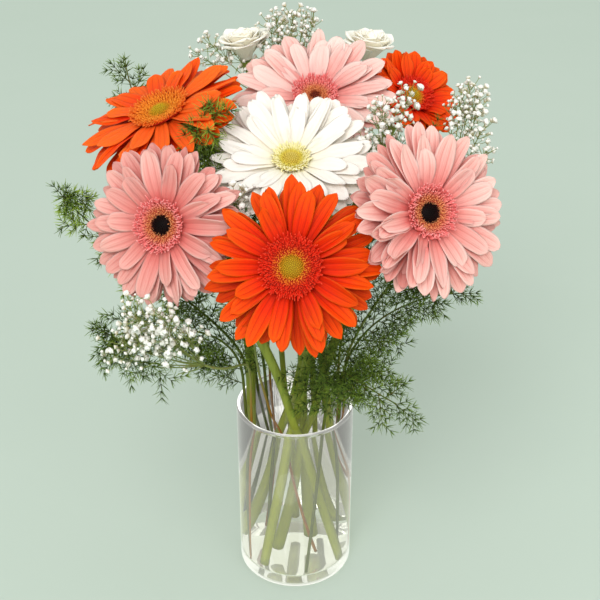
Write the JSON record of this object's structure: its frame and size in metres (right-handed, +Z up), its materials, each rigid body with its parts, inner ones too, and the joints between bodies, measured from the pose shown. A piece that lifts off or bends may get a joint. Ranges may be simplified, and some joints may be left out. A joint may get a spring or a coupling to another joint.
{
  "type": "gerberas in a vase",
  "caption": "Round bunch of orange, pink and white gerberas with cream roses, asparagus fern and baby's breath, standing in a straight clear glass vase of water.",
  "frame": {"origin": "middle of the vase's flat underside, on the surface it stands on", "axes": "+Z up along the axis of the vase; -Y towards the front of the bunch, where the large orange gerbera is; +X to the right seen from the front"},
  "size_m": [0.3162, 0.2872, 0.4175],
  "materials": {
    "vase_glass": "clear polished glass",
    "water": "clear still water",
    "petals_orange": "satin petal, red-orange with brighter tips",
    "petals_pink": "satin petal, salmon pink with coral bases",
    "petals_white": "satin white petal",
    "petals_cream": "matt cream rose petal",
    "florets_orange": "fine fringed florets, deep red-orange",
    "florets_pink": "fine fringed florets, coral",
    "florets_white": "fine fringed florets, pale yellow",
    "eye_green": "tight florets, yellow-green",
    "eye_dark": "tight florets, black-maroon",
    "flower_stem": "smooth pale green stem",
    "fern": "fine dark green needles",
    "babys_breath": "small white florets on thin green stalks"
  },
  "bodies": {
    "root": {"vase": "vase_glass", "water": "water", "gerbera_orange_front_petals": "petals_orange", "gerbera_orange_front_florets": "florets_orange", "gerbera_orange_front_eye": "eye_green", "gerbera_orange_front_stem": "flower_stem", "gerbera_white_centre_petals": "petals_white", "gerbera_white_centre_florets": "florets_white", "gerbera_white_centre_eye": "eye_green", "gerbera_white_centre_stem": "flower_stem", "gerbera_pink_left_petals": "petals_pink", "gerbera_pink_left_florets": "florets_pink", "gerbera_pink_left_eye": "eye_dark", "gerbera_pink_left_stem": "flower_stem", "gerbera_pink_right_petals": "petals_pink", "gerbera_pink_right_florets": "florets_pink", "gerbera_pink_right_eye": "eye_dark", "gerbera_pink_right_stem": "flower_stem", "gerbera_pink_top_petals": "petals_pink", "gerbera_pink_top_florets": "florets_pink", "gerbera_pink_top_eye": "eye_dark", "gerbera_pink_top_stem": "flower_stem", "gerbera_orange_left_petals": "petals_orange", "gerbera_orange_left_florets": "florets_orange", "gerbera_orange_left_eye": "eye_green", "gerbera_orange_left_stem": "flower_stem", "gerbera_orange_right_petals": "petals_orange", "gerbera_orange_right_florets": "florets_orange", "gerbera_orange_right_eye": "eye_green", "gerbera_orange_right_stem": "flower_stem", "rose_left_petals": "petals_cream", "rose_left_stem": "flower_stem", "rose_right_petals": "petals_cream", "rose_right_stem": "flower_stem", "fern_low_right": "fern", "fern_right": "fern", "fern_low_left": "fern", "fern_left": "fern", "fern_back_left": "fern", "fern_centre": "fern", "fern_back": "fern", "babys_breath_low_left": "babys_breath", "babys_breath_back_left": "babys_breath", "babys_breath_top_right": "babys_breath", "babys_breath_right": "babys_breath", "babys_breath_centre": "babys_breath"}
  },
  "joints": []
}
